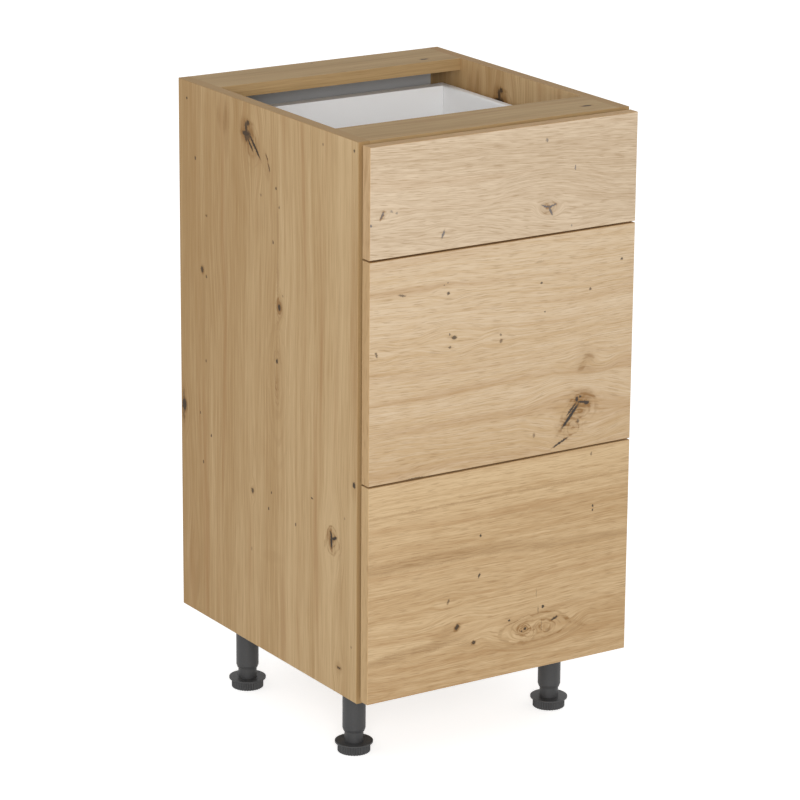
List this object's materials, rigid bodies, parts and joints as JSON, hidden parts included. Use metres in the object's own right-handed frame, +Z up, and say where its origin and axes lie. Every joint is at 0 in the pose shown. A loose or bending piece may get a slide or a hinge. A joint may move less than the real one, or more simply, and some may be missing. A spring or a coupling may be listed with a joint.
{
  "type": "base cabinet with drawers",
  "caption": "Narrow kitchen base cabinet in knotty light oak with handle-less drawers on roller runners and dark levelling legs.",
  "frame": {"origin": "on the floor, in the middle of the footprint", "axes": "+X to the right seen from the front, +Y to the back, +Z up; the drawers open towards -Y"},
  "size_m": [0.4, 0.462, 0.82],
  "materials": {
    "oak_foil_board": "knotty light-oak foil, satin",
    "white_board": "white melamine",
    "grey_hardboard": "grey lacquered hardboard",
    "white_steel": "white powder coat",
    "dark_plastic": "moulded dark grey",
    "nylon": "white nylon",
    "pale_plastic": "moulded pale grey",
    "zinc_steel": "bright zinc-plated screws and cam fittings"
  },
  "bodies": {
    "root": {"side_panel_left": "oak_foil_board", "side_panel_right": "oak_foil_board", "bottom_panel": "oak_foil_board", "top_rail_front": "oak_foil_board", "top_rail_rear": "oak_foil_board", "back_panel": "grey_hardboard", "legs": "dark_plastic", "push_latch_housings": "pale_plastic", "cabinet_runner_left_top": "white_steel", "cabinet_runner_right_top": "white_steel", "cabinet_runner_left_middle": "white_steel", "cabinet_runner_right_middle": "white_steel", "cabinet_runner_left_bottom": "white_steel", "cabinet_runner_right_bottom": "white_steel"},
    "drawer_top": {"drawer_top_front": "oak_foil_board", "drawer_top_base": "white_board", "drawer_top_back": "white_board", "drawer_top_side_left": "white_steel", "drawer_top_side_right": "white_steel"},
    "drawer_middle": {"drawer_middle_front": "oak_foil_board", "drawer_middle_base": "white_board", "drawer_middle_back": "white_board", "drawer_middle_side_left": "white_steel", "drawer_middle_side_right": "white_steel"},
    "drawer_bottom": {"drawer_bottom_front": "oak_foil_board", "drawer_bottom_base": "white_board", "drawer_bottom_back": "white_board", "drawer_bottom_side_left": "white_steel", "drawer_bottom_side_right": "white_steel"},
    "cabinet_rollers_top": {"cabinet_rollers_top": "nylon"},
    "drawer_rollers_top": {"drawer_top_rollers": "nylon"},
    "cabinet_rollers_middle": {"cabinet_rollers_middle": "nylon"},
    "drawer_rollers_middle": {"drawer_middle_rollers": "nylon"},
    "cabinet_rollers_bottom": {"cabinet_rollers_bottom": "nylon"},
    "drawer_rollers_bottom": {"drawer_bottom_rollers": "nylon"},
    "plunger_top": {"push_latch_plunger_top": "pale_plastic"},
    "plunger_middle": {"push_latch_plunger_middle": "pale_plastic"},
    "plunger_bottom": {"push_latch_plunger_bottom": "pale_plastic"},
    "foot_front_left": {"foot_front_left": "dark_plastic"},
    "foot_front_right": {"foot_front_right": "dark_plastic"},
    "foot_back_left": {"foot_back_left": "dark_plastic"},
    "foot_back_right": {"foot_back_right": "dark_plastic"}
  },
  "joints": [
    {"name": "drawer_top_slide", "type": "slide", "parent": "root", "child": "drawer_top", "axis": [0, -1, 0], "range_m": [0, 0.3]},
    {"name": "drawer_middle_slide", "type": "slide", "parent": "root", "child": "drawer_middle", "axis": [0, -1, 0], "range_m": [0, 0.3]},
    {"name": "drawer_bottom_slide", "type": "slide", "parent": "root", "child": "drawer_bottom", "axis": [0, -1, 0], "range_m": [0, 0.3]},
    {"name": "cabinet_rollers_top_spin", "type": "hinge", "parent": "root", "child": "cabinet_rollers_top", "pos_m": [0, -0.195, 0.7076], "axis": [1, 0, 0], "continuous": true},
    {"name": "drawer_rollers_top_spin", "type": "hinge", "parent": "drawer_top", "child": "drawer_rollers_top", "pos_m": [0, 0.17, 0.7047], "axis": [1, 0, 0], "continuous": true},
    {"name": "cabinet_rollers_middle_spin", "type": "hinge", "parent": "root", "child": "cabinet_rollers_middle", "pos_m": [0, -0.195, 0.4214], "axis": [1, 0, 0], "continuous": true},
    {"name": "drawer_rollers_middle_spin", "type": "hinge", "parent": "drawer_middle", "child": "drawer_rollers_middle", "pos_m": [0, 0.17, 0.4185], "axis": [1, 0, 0], "continuous": true},
    {"name": "cabinet_rollers_bottom_spin", "type": "hinge", "parent": "root", "child": "cabinet_rollers_bottom", "pos_m": [0, -0.195, 0.1352], "axis": [1, 0, 0], "continuous": true},
    {"name": "drawer_rollers_bottom_spin", "type": "hinge", "parent": "drawer_bottom", "child": "drawer_rollers_bottom", "pos_m": [0, 0.17, 0.1323], "axis": [1, 0, 0], "continuous": true},
    {"name": "plunger_top_press", "type": "slide", "parent": "root", "child": "plunger_top", "axis": [0, 1, 0], "range_m": [0, 0.004], "stiffness_N_per_m": 800, "springref_m": -0.004},
    {"name": "plunger_middle_press", "type": "slide", "parent": "root", "child": "plunger_middle", "axis": [0, 1, 0], "range_m": [0, 0.004], "stiffness_N_per_m": 800, "springref_m": -0.004},
    {"name": "plunger_bottom_press", "type": "slide", "parent": "root", "child": "plunger_bottom", "axis": [0, 1, 0], "range_m": [0, 0.004], "stiffness_N_per_m": 800, "springref_m": -0.004},
    {"name": "foot_front_left_level", "type": "slide", "parent": "root", "child": "foot_front_left", "axis": [0, 0, -1], "range_m": [-0.008, 0.02]},
    {"name": "foot_front_right_level", "type": "slide", "parent": "root", "child": "foot_front_right", "axis": [0, 0, -1], "range_m": [-0.008, 0.02]},
    {"name": "foot_back_left_level", "type": "slide", "parent": "root", "child": "foot_back_left", "axis": [0, 0, -1], "range_m": [-0.008, 0.02]},
    {"name": "foot_back_right_level", "type": "slide", "parent": "root", "child": "foot_back_right", "axis": [0, 0, -1], "range_m": [-0.008, 0.02]}
  ],
  "couplings": [
    {"joint": "cabinet_rollers_top_spin", "follows": "drawer_top_slide", "rad_per_m": 111.11},
    {"joint": "drawer_rollers_top_spin", "follows": "drawer_top_slide", "rad_per_m": 111.11},
    {"joint": "cabinet_rollers_middle_spin", "follows": "drawer_middle_slide", "rad_per_m": 111.11},
    {"joint": "drawer_rollers_middle_spin", "follows": "drawer_middle_slide", "rad_per_m": 111.11},
    {"joint": "cabinet_rollers_bottom_spin", "follows": "drawer_bottom_slide", "rad_per_m": 111.11},
    {"joint": "drawer_rollers_bottom_spin", "follows": "drawer_bottom_slide", "rad_per_m": 111.11}
  ]
}
